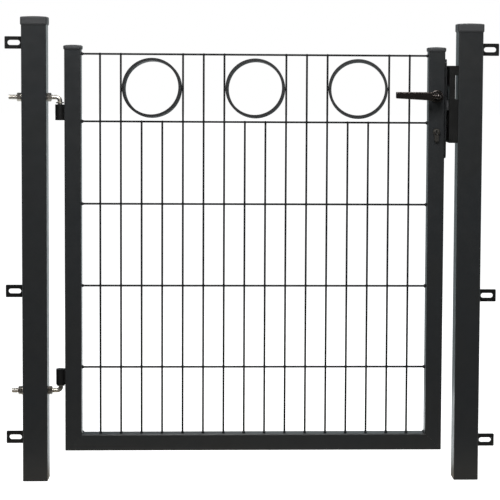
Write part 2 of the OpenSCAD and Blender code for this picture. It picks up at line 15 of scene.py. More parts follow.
import bmesh
import bpy
from mathutils import Matrix, Vector
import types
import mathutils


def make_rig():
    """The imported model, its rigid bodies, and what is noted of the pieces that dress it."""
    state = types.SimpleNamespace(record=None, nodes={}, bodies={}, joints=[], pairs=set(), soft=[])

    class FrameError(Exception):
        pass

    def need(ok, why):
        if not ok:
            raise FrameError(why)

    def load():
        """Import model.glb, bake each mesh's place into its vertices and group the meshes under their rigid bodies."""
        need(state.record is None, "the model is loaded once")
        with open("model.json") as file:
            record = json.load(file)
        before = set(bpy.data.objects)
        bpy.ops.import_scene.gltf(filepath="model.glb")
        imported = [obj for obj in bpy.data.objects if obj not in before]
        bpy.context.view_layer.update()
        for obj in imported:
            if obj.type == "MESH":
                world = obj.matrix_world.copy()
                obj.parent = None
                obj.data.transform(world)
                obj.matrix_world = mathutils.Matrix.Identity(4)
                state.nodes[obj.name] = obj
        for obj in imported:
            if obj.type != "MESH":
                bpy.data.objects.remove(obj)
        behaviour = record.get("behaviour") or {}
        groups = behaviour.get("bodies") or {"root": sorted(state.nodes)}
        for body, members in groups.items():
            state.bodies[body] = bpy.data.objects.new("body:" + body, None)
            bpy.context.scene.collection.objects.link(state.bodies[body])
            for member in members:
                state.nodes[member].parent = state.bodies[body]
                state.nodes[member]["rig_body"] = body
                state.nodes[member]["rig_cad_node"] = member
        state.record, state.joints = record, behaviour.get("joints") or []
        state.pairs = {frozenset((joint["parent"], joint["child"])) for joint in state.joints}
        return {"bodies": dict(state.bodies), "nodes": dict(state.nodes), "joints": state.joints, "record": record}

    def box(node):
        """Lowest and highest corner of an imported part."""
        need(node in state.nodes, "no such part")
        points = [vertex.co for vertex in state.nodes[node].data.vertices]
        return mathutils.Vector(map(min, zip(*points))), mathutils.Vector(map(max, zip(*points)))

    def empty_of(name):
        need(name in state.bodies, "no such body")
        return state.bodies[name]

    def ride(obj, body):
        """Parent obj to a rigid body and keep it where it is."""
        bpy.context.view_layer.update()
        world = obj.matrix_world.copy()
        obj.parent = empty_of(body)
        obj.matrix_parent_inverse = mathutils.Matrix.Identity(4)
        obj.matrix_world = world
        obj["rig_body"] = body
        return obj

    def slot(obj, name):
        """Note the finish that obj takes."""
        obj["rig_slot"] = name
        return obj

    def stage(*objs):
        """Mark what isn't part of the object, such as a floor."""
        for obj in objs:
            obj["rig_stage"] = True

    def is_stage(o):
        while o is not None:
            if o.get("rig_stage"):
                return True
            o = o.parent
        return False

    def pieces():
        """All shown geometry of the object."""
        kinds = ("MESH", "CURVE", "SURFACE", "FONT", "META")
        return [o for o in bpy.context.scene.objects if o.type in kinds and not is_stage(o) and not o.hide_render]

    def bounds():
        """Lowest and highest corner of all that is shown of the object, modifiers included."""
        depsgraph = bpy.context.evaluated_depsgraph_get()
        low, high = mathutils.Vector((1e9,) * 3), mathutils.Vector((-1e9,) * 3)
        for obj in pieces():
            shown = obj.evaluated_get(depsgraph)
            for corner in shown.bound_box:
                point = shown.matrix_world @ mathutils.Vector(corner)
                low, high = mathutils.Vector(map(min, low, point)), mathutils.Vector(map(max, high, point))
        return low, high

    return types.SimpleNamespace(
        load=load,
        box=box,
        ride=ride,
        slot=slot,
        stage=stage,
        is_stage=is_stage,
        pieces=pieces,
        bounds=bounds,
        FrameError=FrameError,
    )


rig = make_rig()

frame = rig.load()
cad_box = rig.bounds()
print("CAD nodes:", len(frame["nodes"]), "on", sorted(frame["bodies"]))

# %% [markdown]
# ## Camera
#
# A straight-on product view of a gate still shows a little of every tube's side, and how much depends on how far
# away the camera stands. Here it stands four and a half metres off, a little below the posts' tops and somewhat to
# the hinge side, and a long lens brings the gate back to fill the frame. The camera could simply be aimed at the
# gate's middle, but a camera that looks down makes posts lean together. So it tilts down a little less than that,
# and a small lens shift does the rest, as is done with a shift lens in front of a tall building.

# %% Camera
LENS_MM = 133.35  # long, so that the gate fills the frame from this far away
SENSOR_MM = 36    # the width of a full-frame sensor
SHIFT = (-0.1077, -0.11)
EYE = (0.4528, -4.5, 1.0279)
TILT, ROLL, PAN = 0.07291, 0.00625, 0.04365

turn = Matrix.Rotation(TILT, 3, "X") @ Matrix.Rotation(ROLL, 3, "Y") @ Matrix.Rotation(PAN, 3, "Z")
right, ahead, up = turn[0], turn[1], turn[2]

lens = bpy.data.cameras.new("studio_camera")
lens.type = "PERSP"
lens.sensor_width = SENSOR_MM
lens.lens = LENS_MM
lens.shift_x, lens.shift_y = SHIFT
camera = bpy.data.objects.new("studio_camera", lens)
camera.matrix_world = Matrix.Translation(EYE) @ Matrix((right, up, -ahead)).transposed().to_4x4()
bpy.context.scene.collection.objects.link(camera)
bpy.context.scene.camera = camera
bpy.context.scene.view_settings.view_transform = "Standard"
print("lens", round(lens.lens, 1), "mm, looking", [round(v, 3) for v in ahead])

# %% [markdown]
# ## Helpers for materials
#
# Colours are written as the hex values that a paint chart or a screen shows. Blender's shaders work in linear light,
# so one function turns the one into the other. The second function adds one shader node of any kind: it sets what is
# passed as settings, and links what is passed as links. A node could also be added by hand in the Shader Editor, but
# written down it is the same on every run.
#
# Most nodes name their sockets. A Mix node needs numbers, because its names repeat: 0 is the factor, 6 and 7 are its
# two colours, and its output 2 is the mixed colour. A texture's Scale counts its features per metre here, so that 330
# means one every three millimetres.

# %% Colour and node helpers
def linear(hex_colour):
    channels = [int(hex_colour[i:i + 2], 16) / 255 for i in (1, 3, 5)]
    return [c / 12.92 if c <= 0.04045 else ((c + 0.055) / 1.055) ** 2.4 for c in channels] + [1.0]


def add(tree, kind, settings={}, links={}):
    made = tree.nodes.new("ShaderNode" + kind)
    for name, value in settings.items():
        if isinstance(name, str) and hasattr(made, name):
            setattr(made, name, value)
    for name, value in settings.items():
        if isinstance(name, int) or not hasattr(made, name):
            made.inputs[name].default_value = value
    for name, source in links.items():
        tree.links.new(source, made.inputs[name])
    return made


print("middle grey #808080 in linear light:", [round(c, 3) for c in linear("#808080")])

# %% [markdown]
# ## Studio
#
# The gate stands in a white studio. A soft lamp hangs above and in front of it, one stands at each side and one
# behind, and the room itself gives the rest. Glossy paint and bright zinc need something to reflect. Low down behind
# the gate, on the latch side, that is white, a trace cooler than the paper. On the hinge side and higher up it is
# grey, and in front of the gate it is dark, which is what gives dark gloss paint its depth. A panorama of a real room
# could be wrapped round the scene for this, but three soft steps say the same and need no image file.

# %% What gloss sees of the room
world = bpy.data.worlds.new("white_studio")
bpy.context.scene.world = world
world.use_nodes = True
sky = world.node_tree
sky.nodes.clear()
ray = add(sky, "LightPath")
# The way that a ray leaves in: X to the latch, Y to the back, Z up
way = add(sky, "SeparateXYZ", links={0: add(sky, "TexCoord").outputs["Generated"]})
backwards = add(sky, "MapRange", {"interpolation_type": "SMOOTHSTEP", "From Min": 0.1, "From Max": 0.9},
                {"Value": way.outputs["Y"]})
latchwards = add(sky, "MapRange", {"interpolation_type": "SMOOTHSTEP", "From Min": -0.12, "From Max": 0.07},
                 {"Value": way.outputs["X"]})
low = add(sky, "MapRange", {"interpolation_type": "SMOOTHSTEP", "From Min": 0.1, "From Max": 0.02},
          {"Value": way.outputs["Z"]})
bright = add(sky, "Math", {"operation": "MULTIPLY"}, {0: latchwards.outputs[0], 1: low.outputs[0]})
backdrop = add(sky, "Mix", {"data_type": "RGBA", 6: linear("#566165"), 7: linear("#F3FDFF")},
               {0: bright.outputs[0]})
mirrored = add(sky, "Mix", {"data_type": "RGBA", 6: linear("#3C3F41")},
               {0: backwards.outputs[0], 7: backdrop.outputs[2]})
print("nodes for the room in the gloss:", len(sky.nodes))

# %% [markdown]
# Light Path tells what kind of ray asks for the room's colour. Gloss gets the room above, the soft light on dull
# surfaces gets an even grey, and the camera, and whatever looks through glass, gets plain white.

# %% Which ray sees what
glossy = add(sky, "Mix", {"data_type": "RGBA", 6: linear("#A0A3A5")},
             {0: ray.outputs["Is Glossy Ray"], 7: mirrored.outputs[2]})
seen = add(sky, "Math", {"operation": "MAXIMUM"},
           {0: ray.outputs["Is Camera Ray"], 1: ray.outputs["Is Transmission Ray"]})
shown = add(sky, "Mix", {"data_type": "RGBA", 7: linear("#FFFFFF")}, {0: seen.outputs[0], 6: glossy.outputs[2]})
air = add(sky, "Background", {"Strength": 1.0}, {"Color": shown.outputs[2]})
add(sky, "OutputWorld", links={"Surface": air.outputs[0]})
print("world nodes:", len(sky.nodes))

# %% [markdown]
# The floor is a wide sheet of pale paper. More lamp light would turn it white too, but it would also bleach the gate.
# So for the camera the paper glows just enough to melt into the white behind it, and the part of its colour that
# still comes from the lamps keeps the posts' soft shadow. Gloss sees the same white paper behind the gate, pale paper
# right before it, and a darker floor further to the front, as the room is darker there.

# %% Floor paper
paper = bpy.data.materials.new("pale_paper")
paper.use_nodes = True
tree = paper.node_tree
tree.nodes.clear()
ray = add(tree, "LightPath")
plain = add(tree, "BsdfDiffuse", {"Color": linear("#949089")})
white = add(tree, "Mix", {"data_type": "RGBA", 6: linear("#FFFFFF"), 7: linear("#F3FDFF")},
            {0: ray.outputs["Is Glossy Ray"]})
glow = add(tree, "Emission", {"Strength": 0.92}, {"Color": white.outputs[2]})
lit = add(tree, "BsdfDiffuse", {"Color": linear("#B4B4B4")})
both = add(tree, "AddShader", links={0: glow.outputs[0], 1: lit.outputs[0]})
spot = add(tree, "SeparateXYZ", links={0: add(tree, "NewGeometry").outputs["Position"]})
behind = add(tree, "MapRange", {"interpolation_type": "SMOOTHSTEP", "From Min": 0.0, "From Max": 0.3},
             {"Value": spot.outputs["Y"]})
mirror = add(tree, "Math", {"operation": "MULTIPLY"}, {0: ray.outputs["Is Glossy Ray"], 1: behind.outputs[0]})
seen = add(tree, "Math", {"operation": "MAXIMUM"},
           {0: ray.outputs["Is Camera Ray"], 1: mirror.outputs[0]})
seen = add(tree, "Math", {"operation": "MAXIMUM"}, {0: seen.outputs[0], 1: ray.outputs["Is Transmission Ray"]})
near = add(tree, "MapRange", {"interpolation_type": "SMOOTHSTEP", "From Min": -0.5, "From Max": -0.1},
           {"Value": spot.outputs["Y"]})
dusk = add(tree, "Mix", {"data_type": "RGBA", 6: linear("#3A3B3C"), 7: linear("#C8BFB0")}, {0: near.outputs[0]})
shade = add(tree, "BsdfDiffuse", links={"Color": dusk.outputs[2]})
away = add(tree, "MixShader", links={0: ray.outputs["Is Glossy Ray"], 1: plain.outputs[0], 2: shade.outputs[0]})
sheet = add(tree, "MixShader", links={0: seen.outputs[0], 1: away.outputs[0], 2: both.outputs[0]})
add(tree, "OutputMaterial", links={"Surface": sheet.outputs[0]})
print(paper.name, len(tree.nodes), "nodes")

# %% [markdown]
# Floor and flag are both one flat sheet, so one helper makes a sheet from its corners.

# %% Floor
def flat_sheet(name, corners, material):
    bm = bmesh.new()
    bm.faces.new([bm.verts.new(corner) for corner in corners])
    mesh = bpy.data.meshes.new(name)
    bm.to_mesh(mesh)
    bm.free()
    mesh.materials.append(material)
    made = bpy.data.objects.new(name, mesh)
    bpy.context.scene.collection.objects.link(made)
    return made


REACH = 30  # metres each way, so that no edge of the paper comes into view
floor = flat_sheet("studio_floor", [(-REACH, -REACH, 0), (REACH, -REACH, 0), (REACH, REACH, 0), (-REACH, REACH, 0)],
                   paper)
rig.stage(floor)
print("floor", floor.dimensions[:])

# %% [markdown]
# In a studio, reflections are shaped with flags: grey cards that stand outside the picture and that only the gloss
# sees. One stands behind the lock's end of the gate, and it calms the sheen on the tube sides that look towards the
# hinges. A darker room would do that too, but for every tube at once. The flag is switched off for every kind of ray
# but glossy ones, so it neither shows nor throws a shadow.

# %% Grey flag
card = bpy.data.materials.new("grey_card")
card.use_nodes = True
card.node_tree.nodes.clear()
grey = add(card.node_tree, "Emission", {"Color": linear("#929EA1"), "Strength": 1.0})
add(card.node_tree, "OutputMaterial", links={"Surface": grey.outputs[0]})

flag = flat_sheet("grey_flag", [(0.5, 1.2, 0.0), (1.6, 1.2, 0.0), (1.6, 1.2, 1.5), (0.5, 1.2, 1.5)], card)
flag.visible_camera = flag.visible_diffuse = flag.visible_transmission = flag.visible_shadow = False
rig.stage(flag)
print("flag", [round(v, 2) for v in flag.dimensions])

# %% [markdown]
# The lamps are area lamps, because a softbox gives the broad, soft-edged streaks that show on rounded tube corners.
# A point lamp or a sun would leave a hard spark there. All of them look at the middle of the gate.

# %% Lamps
GATE_MIDDLE = Vector((0.53, 0, 0.6))
LAMPS = {  # place, size in metres, watts
    "lamp_over_front": ((0.4, -1.9, 2.5), 1.2, 76),
    "lamp_left": ((-3.4, -1.6, 1.9), 1.4, 20),
    "lamp_right": ((4.3, -1.4, 1.9), 1.4, 20),
    "lamp_behind": ((0.8, 2.6, 2.6), 1.6, 40),
}
for name, (place, size, watts) in LAMPS.items():
    light = bpy.data.lights.new(name, "AREA")
    light.size, light.energy = size, watts
    lamp = bpy.data.objects.new(name, light)
    lamp.location = place
    lamp.rotation_euler = (GATE_MIDDLE - Vector(place)).to_track_quat("-Z", "Y").to_euler()
    bpy.context.scene.collection.objects.link(lamp)
print("lamps:", len(LAMPS))

# %% [markdown]
# ## Where things are
#
# Every place below is read from the boxes of the CAD nodes, so that a gate of another width still gets its welds
# and screws in the right places. Only the wires' numbers and distances are plain numbers, because the mesh is one
# node. They are what such mesh is sold with: uprights every 50 mm and cross wires every 200 mm.

# %% Measures
MM = 0.001


def middle(node, axis):
    low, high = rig.box(node)
    return (low[axis] + high[axis]) / 2


rail_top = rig.box("bottom_rail")[1].z
frame_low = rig.box("bottom_rail")[0].z
inner_left, inner_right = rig.box("hinge_stile")[1].x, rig.box("latch_stile")[0].x
stile_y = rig.box("hinge_stile")[1].y

WIRE_R, WIRE_Y = 2.5 * MM, 2.2 * MM  # a wire's radius, and how far the two layers lie from the middle plane
UPRIGHTS, PITCH = 16, 50 * MM
CROSS_WIRES, ROW, FIRST_ROW = 4, 200 * MM, 163 * MM  # the first cross wire lies this far above the rail
top_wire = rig.box("wire_mesh")[1].z - WIRE_R
wires = [middle("wire_mesh", 0) + (i - (UPRIGHTS - 1) / 2) * PITCH for i in range(UPRIGHTS)]
rows = [rail_top + FIRST_ROW + i * ROW for i in range(CROSS_WIRES)]
print("opening between the stiles", round(inner_right - inner_left, 3), "m, wires", len(wires))

# %% [markdown]
# ## Anthracite powder coat
#
# Posts, frame, mesh and rings wear one coat: polyester powder, sprayed on dry and baked, in a dark blue-grey. Baked
# powder never levels out quite flat, which shows as orange peel: shallow dimples one to two millimetres across. They
# are drawn three millimetres wide, so that they still show at arm's length. The coat is an ordinary plastic film over
# steel, so it isn't metallic and its IOR is 1.5. It is satin, and at a flat angle it mirrors its white surroundings
# strongly, which is why the tubes' sides look so much paler than their fronts. Wires and rings get the same powder,
# duller, and in a darker copy whose darker colour is painted shade on the thin round stock. An image of paint could be
# pasted on instead, but noise has no seams and stays sharp from near by.

# %% Anthracite powder coat
def start_finish(name):
    finish = bpy.data.materials.new(name)
    finish.use_nodes = True
    tree = finish.node_tree
    return finish, tree, tree.nodes["Principled BSDF"], add(tree, "TexCoord").outputs["Object"]


def powder_coat(name, cool, warm, rough, peel, specular):
    coat, tree, shader, where = start_finish(name)
    # Batches of powder drift in hue over a hand's width, and handling leaves broad, faint differences in gloss
    drift = add(tree, "TexNoise", {"Scale": 7.0, "Detail": 3.0, "Roughness": 0.6}, {"Vector": where})
    tint = add(tree, "Mix", {"data_type": "RGBA", 6: linear(cool), 7: linear(warm)}, {0: drift.outputs[0]})
    tree.links.new(tint.outputs[2], shader.inputs["Base Color"])
    handled = add(tree, "TexNoise", {"Scale": 38.0, "Detail": 4.0, "Roughness": 0.55}, {"Vector": where})
    gloss = add(tree, "MapRange", {"From Min": 0.3, "From Max": 0.7, "To Min": rough - 0.04, "To Max": rough + 0.05},
                {"Value": handled.outputs[0]})
    tree.links.new(gloss.outputs[0], shader.inputs["Roughness"])
    # Orange peel: three dimples a centimetre, with a finer grain on top
    dimples = add(tree, "TexNoise", {"Scale": 330.0, "Detail": 2.0, "Roughness": 0.5}, {"Vector": where})
    skin = add(tree, "Bump", {"Strength": peel, "Distance": 0.12 * MM}, {"Height": dimples.outputs[0]})
    tree.links.new(skin.outputs[0], shader.inputs["Normal"])
    shader.inputs["IOR"].default_value = 1.5
    shader.inputs["Specular IOR Level"].default_value = specular
    return coat


anthracite = powder_coat("anthracite_powder_coat", "#212427", "#252524", 0.34, 0.1, 0.4)
# The same powder for wires, rings and their welds: duller, with its colour darkened as painted shade
mesh_coat_painted_shade = powder_coat("anthracite_painted_shade_on_wire", "#16181A", "#191919", 0.46, 0.04, 0.2)
print(anthracite.name, len(anthracite.node_tree.nodes), "nodes")

# %% [markdown]
# ## Black powder coat
#
# The small steel parts that are bought in and welded or screwed on are black: the fence tabs, the sleeves of the
# hinges and the keep of the lock. They could wear the anthracite with a darker colour, and in effect they do: it is
# the same kind of film, so it comes from the same function, without the blue.

# %% Black powder coat
# The same black also paints the shade on the floor of the keyway in the key plug
black = powder_coat("black_powder_coat_and_keyway_shade", "#121314", "#151412", 0.34, 0.1, 0.4)
print(black.name, len(black.node_tree.nodes), "nodes")

# %% [markdown]
# ## Moulded cap plastic
#
# The tubes are closed with caps of injection-moulded polyethylene. The mould is spark-eroded, which leaves a fine
# sandy grain, drawn at about one millimetre. The plastic is dyed grey right through and has a soft, matt sheen. Its
# edges are a little rounded. A Bevel modifier would change the CAD mesh, so a Bevel node rounds them for the light
# alone.

# %% Cap plastic
cap_plastic, tree, shader, where = start_finish("moulded_polyethylene")
cloud = add(tree, "TexNoise", {"Scale": 30.0, "Detail": 3.0}, {"Vector": where})
tint = add(tree, "Mix", {"data_type": "RGBA", 6: linear("#2B2C2E"), 7: linear("#313233")}, {0: cloud.outputs[0]})
tree.links.new(tint.outputs[2], shader.inputs["Base Color"])
grain = add(tree, "TexNoise", {"Scale": 950.0, "Detail": 2.0}, {"Vector": where})
matt = add(tree, "MapRange", {"From Min": 0.3, "From Max": 0.7, "To Min": 0.5, "To Max": 0.66},
           {"Value": grain.outputs[0]})
tree.links.new(matt.outputs[0], shader.inputs["Roughness"])
rounded = add(tree, "Bevel", {"samples": 4, "Radius": 1.2 * MM})
sand = add(tree, "Bump", {"Strength": 0.35, "Distance": 0.08 * MM},
           {"Height": grain.outputs[0], "Normal": rounded.outputs[0]})
tree.links.new(sand.outputs[0], shader.inputs["Normal"])
shader.inputs["IOR"].default_value = 1.5
print(cap_plastic.name, len(tree.nodes), "nodes")

# %% [markdown]
# ## Plated metals
#
# Hook bolts, nuts and washers are electroplated with zinc and clear-passivated: a bright, slightly warm silver with
# faint yellowish clouds where the passivation is thicker. Plating follows the drawn steel under it, so fine lines run
# along the bar. Stripes of even width could be drawn for them, but real lines are uneven, so they are noise stretched
# along the bar. The bolts and case of the lock are bright steel of a greyer kind, and its cylinder is brass under
# dull nickel that has gone dark and brownish. Metals keep the default IOR, because their colour already says how
# they reflect.

# %% Plated metals
def plated(name, bright, cloudy, rough, stretch):
    metal, tree, shader, where = start_finish(name)
    cloud = add(tree, "TexNoise", {"Scale": 90.0, "Detail": 4.0, "Roughness": 0.6}, {"Vector": where})
    patch = add(tree, "MapRange", {"From Min": 0.38, "From Max": 0.68}, {"Value": cloud.outputs[0]})
    tint = add(tree, "Mix", {"data_type": "RGBA", 6: linear(bright), 7: linear(cloudy)}, {0: patch.outputs[0]})
    tree.links.new(tint.outputs[2], shader.inputs["Base Color"])
    # Drawing lines: half a millimetre apart across the bar, many times longer along it
    along = add(tree, "Mapping", {"Scale": stretch}, {"Vector": where})
    lines = add(tree, "TexNoise", {"Scale": 2000.0, "Detail": 2.0}, {"Vector": along.outputs[0]})
    soft = add(tree, "MapRange", {"From Min": 0.3, "From Max": 0.7, "To Min": rough - 0.06, "To Max": rough + 0.08},
               {"Value": lines.outputs[0]})
    tree.links.new(soft.outputs[0], shader.inputs["Roughness"])
    fine = add(tree, "Bump", {"Strength": 0.12, "Distance": 0.05 * MM}, {"Height": lines.outputs[0]})
    tree.links.new(fine.outputs[0], shader.inputs["Normal"])
    shader.inputs["Metallic"].default_value = 1.0
    return metal


# The last value draws the lines out: along X for the bars of the hook bolts, along Z for the tall parts of the lock
zinc = plated("zinc_plated_bar", "#D0CCC5", "#BBB4A8", 0.44, (0.03, 1, 1))
nut_zinc = plated("zinc_plated_nut", "#B8B2AA", "#8A8174", 0.36, (1, 1, 1))
steel = plated("bright_lock_steel", "#8F9092", "#7B7B7A", 0.32, (1, 1, 0.04))
nickel = plated("dull_nickel_on_brass", "#4D4B47", "#3F3D3B", 0.6, (1, 1, 1))
print(zinc.name, nut_zinc.name, steel.name, nickel.name)

# %% [markdown]
# ## Bronze-anodised aluminium
#
# Lever, knob and roses are aluminium, anodised and dyed to a brown so dark that it reads as black until it catches a
# lamp. Anodising grows a clear layer of oxide on the metal. Plain dark plastic would look similar from afar but has
# no brown in its highlights, so this is a metal with the brown of the dye as its colour, and a clear coat over it
# gives the small white highlights.

# %% Bronze anodising
bronze, tree, shader, where = start_finish("bronze_anodised_aluminium")
dye = add(tree, "TexNoise", {"Scale": 60.0, "Detail": 3.0}, {"Vector": where})
tint = add(tree, "Mix", {"data_type": "RGBA", 6: linear("#423D3B"), 7: linear("#4C4744")}, {0: dye.outputs[0]})
tree.links.new(tint.outputs[2], shader.inputs["Base Color"])
# Before anodising the metal is blasted with fine beads, whose dents are drawn two thirds of a millimetre wide
blast = add(tree, "TexNoise", {"Scale": 1500.0, "Detail": 1.0}, {"Vector": where})
satin = add(tree, "MapRange", {"From Min": 0.3, "From Max": 0.7, "To Min": 0.26, "To Max": 0.36},
            {"Value": blast.outputs[0]})
tree.links.new(satin.outputs[0], shader.inputs["Roughness"])
fine = add(tree, "Bump", {"Strength": 0.1, "Distance": 0.04 * MM}, {"Height": blast.outputs[0]})
tree.links.new(fine.outputs[0], shader.inputs["Normal"])
shader.inputs["Metallic"].default_value = 1.0
shader.inputs["Coat Weight"].default_value = 0.35
shader.inputs["Coat Roughness"].default_value = 0.12
print(bronze.name, len(tree.nodes), "nodes")

# %% [markdown]
# ## Dress the CAD nodes
#
# Each CAD node already has one material slot. It could be filled node by node, but the nodes' names say what kind of
# part they are, so one function picks the finish by the name.

# %% Dress the CAD nodes
def finish_of(node):
    if node.endswith("_cap"):
        return cap_plastic
    if "_tab_" in node or "sleeve" in node or node == "keep":
        return black
    if node.startswith("hook_bolt"):
        return zinc
    if node.startswith(("nut", "washer")):
        return nut_zinc
    if node in ("lever", "knob", "rose_front", "rose_back"):
        return bronze
    if node == "lock_cylinder":
        return nickel
    if node in ("latch_bolt", "locking_bolt", "lock_case", "lock_follower", "spindle"):
        return steel
    if node == "wire_mesh" or node.startswith("ring"):
        return mesh_coat_painted_shade
    return anthracite


for name, part in frame["nodes"].items():
    if not part.material_slots:
        part.data.materials.append(None)
    for slot in part.material_slots:
        slot.material = finish_of(name)
print("dressed", len(frame["nodes"]), "nodes")

# %% [markdown]
# ## Making pieces
#
# All added pieces are small and many, so each kind is one mesh. Primitives could be joined for them, but every one
# here is a row of loops with a skin between them: the loops of a weld bead follow its seam, and the loops of a screw
# head or a blob stand along one axis. The radius of a bead swells and shrinks a little, the way the puddle freezes in
# overlapping scales, and it tapers at both ends. All helpers write into the same bmesh until the kind is complete.

# %% Loops and skins
def ring_at(bm, centre, side, other, radii):
    ring = []
    for k, radius in enumerate(radii):
        angle = 2 * math.pi * k / len(radii)
        ring.append(bm.verts.new(centre + radius * (side * math.cos(angle) + other * math.sin(angle))))
    return ring


def bridge(bm, loops):
    for a, b in zip(loops, loops[1:]):
        for k in range(len(a)):
            bm.faces.new((a[k], a[(k + 1) % len(a)], b[(k + 1) % len(a)], b[k]))


def close_ends(bm, loops):
    bm.faces.new(loops[0][::-1])
    bm.faces.new(loops[-1])


def sideways(axis):
    side = axis.orthogonal().normalized()
    return side, axis.cross(side)


print("sideways of straight up:", [tuple(v) for v in sideways(Vector((0, 0, 1)))])

# %% Beads and turned parts
def bead(bm, path, radius, ripple, swell, sides):
    steps = []
    for a, b in zip(path, path[1:]):
        count = max(2, math.ceil((b - a).length / (ripple / 4)))
        steps += [a.lerp(b, i / count) for i in range(count)]
    steps.append(path[-1])
    walked, rings = 0.0, []
    for i, point in enumerate(steps):
        heading = (steps[min(i + 1, len(steps) - 1)] - steps[max(i - 1, 0)]).normalized()
        walked += (point - steps[i - 1]).length if i else 0.0
        from_start, from_end = (point - steps[0]).length, (steps[-1] - point).length
        taper = math.sqrt(max(0.0, 1 - (1 - min(1, from_start / radius, from_end / radius)) ** 2))
        r = radius * (1 - swell * abs(math.cos(math.pi * walked / ripple))) * max(taper, 0.15)
        rings.append(ring_at(bm, point, *sideways(heading), [r] * sides))
    bridge(bm, rings)
    close_ends(bm, rings)


def turned(bm, centre, axis, outline, sides, uneven, chance):
    axis = Vector(axis).normalized()
    rings = []
    for reach, radius in outline:
        radii = [radius * (1 + uneven * (chance.random() - 0.5)) for k in range(sides)]
        rings.append(ring_at(bm, Vector(centre) + axis * reach, *sideways(axis), radii))
    bridge(bm, rings)
    close_ends(bm, rings)


trial = bmesh.new()
bead(trial, [Vector((0, 0, 0)), Vector((0, 0, 20 * MM))], 2 * MM, 2 * MM, 0.18, 8)
print("a bead of 20 mm has", len(trial.faces), "faces")
trial.free()

# %% [markdown]
# A finished bmesh becomes an object in the same few lines every time: its faces are turned outwards, it is shaded
# smooth, it rides on a body of the CAD model, so that it moves with the gate or the posts, and it names the slot
# that it takes its finish from.

# %% Finish a piece
def piece(name, bm, body, material, slot):
    bmesh.ops.recalc_face_normals(bm, faces=bm.faces)
    mesh = bpy.data.meshes.new(name)
    bm.to_mesh(mesh)
    bm.free()
    mesh.materials.append(material)
    mesh.shade_smooth()
    made = bpy.data.objects.new(name, mesh)
    bpy.context.scene.collection.objects.link(made)
    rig.ride(made, body)
    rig.slot(made, slot)
    print(name, len(mesh.polygons), "faces on", body)
    return made


print("bodies to ride on:", sorted(frame["bodies"]))

# %% [markdown]
# ## Bolt threads
#
# The hook bolts are M12 with a rolled thread. Rolling presses the metal outwards, so the thread is a little thicker
# than the plain bar, and it ends just past the inner nut. The CAD bolt is the plain bar. A bump map could
# fake the thread, but its outline would stay smooth, so a real ridge of 1.75 mm pitch is wound round the bar: a small
# three-sided section swept along a helix, which sinks into the bar at both ends.

# %% Bolt threads
THREAD_PITCH, THREAD_R, BAR_R = 1.75 * MM, 6.0 * MM, 5.5 * MM
ROOT_R = BAR_R - 0.3 * MM           # the ridge's foot hides below the bar's surface
FOOT, CREST = 0.8 * MM, 0.12 * MM   # half the width of the ridge's foot, and of its crest
CHAMFER, PAST_NUT = 0.8 * MM, 4 * MM
TURN_STEPS = 28
for level in ("upper", "lower"):
    y, z = middle(f"nut_{level}_outer", 1), middle(f"nut_{level}_outer", 2)
    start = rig.box(f"hook_bolt_{level}")[0].x + CHAMFER
    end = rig.box(f"nut_{level}_inner")[1].x + PAST_NUT
    bm = bmesh.new()
    count = round((end - start) / THREAD_PITCH * TURN_STEPS)
    sections = []
    for i in range(count + 1):
        angle = 2 * math.pi * i / TURN_STEPS
        x = start + THREAD_PITCH * i / TURN_STEPS
        out = Vector((0, math.cos(angle), math.sin(angle)))
        crest_r = ROOT_R + (THREAD_R - ROOT_R) * min(1.0, i / TURN_STEPS, (count - i) / TURN_STEPS)
        sections.append([bm.verts.new(Vector((x + dx, y, z)) + out * r) for dx, r in (
            (-FOOT, ROOT_R), (-CREST, crest_r), (CREST, crest_r), (FOOT, ROOT_R))])
    for a, b in zip(sections, sections[1:]):
        for k in range(3):
            bm.faces.new((a[k], a[k + 1], b[k + 1], b[k]))
    piece(f"bolt_thread_{level}", bm, "posts", zinc, "zinc_steel")

# %% [markdown]
# ## Welds of the mesh
#
# Where a wire meets the frame, a spot of filler closes it in a blob. A sphere would be quicker, but it looks like a
# bead on a string, and no two real blobs are alike. So each is turned from a drooping outline, in its own size, and
# its outline is shaken a little, from a fixed seed so that every run gives the same gate. Uprights get
# smaller blobs than cross wires.

# %% Welds of the wires' ends
chance = random.Random(11)
BLOB = [(-0.6, 4.0), (0.8, 4.3), (2.0, 4.2), (3.1, 3.8), (4.1, 3.2), (4.9, 2.6)]  # reach and radius, in mm
BARE = 2.6  # the radius that still covers the wire, in mm
bm = bmesh.new()
for z in rows + [top_wire]:
    for x, way in ((inner_left, 1), (inner_right, -1)):
        size = 0.85 + 0.3 * chance.random()
        outline = [(reach * MM, (radius * size if radius > BARE else radius) * MM) for reach, radius in BLOB]
        turned(bm, (x, WIRE_Y, z), (way, 0, 0), outline, 16, 0.14, chance)
for x in wires:
    size = 0.76 + 0.15 * chance.random()
    outline = [(reach * size * MM, max(radius * size, BARE) * MM) for reach, radius in BLOB]
    turned(bm, (x, -WIRE_Y, rail_top), (0, 0, 1), outline, 16, 0.1, chance)
piece("wire_end_welds", bm, "leaf", mesh_coat_painted_shade, "grey_coat")

# %% [markdown]
# Where wires cross, the welding machine presses them together and a current fuses them, which leaves a small
# squeezed collar between the two. Under each ring two uprights stop short, so they don't cross the top wire.

# %% Welds of the crossings
RING_SPANS = [(1, 4), (6, 9), (11, 14)]  # the uprights on both sides of each ring
COLLAR = [(0, 2.0 * MM), (0.5 * MM, 3.1 * MM), (1.3 * MM, 3.2 * MM), (1.8 * MM, 2.1 * MM)]
bm = bmesh.new()
for z in rows + [top_wire]:
    for i, x in enumerate(wires):
        if z == top_wire and any(a < i < b for a, b in RING_SPANS):
            continue
        turned(bm, (x, -0.9 * MM, z), (0, 1, 0), COLLAR, 12, 0.1, chance)
piece("wire_crossing_welds", bm, "leaf", mesh_coat_painted_shade, "grey_coat")

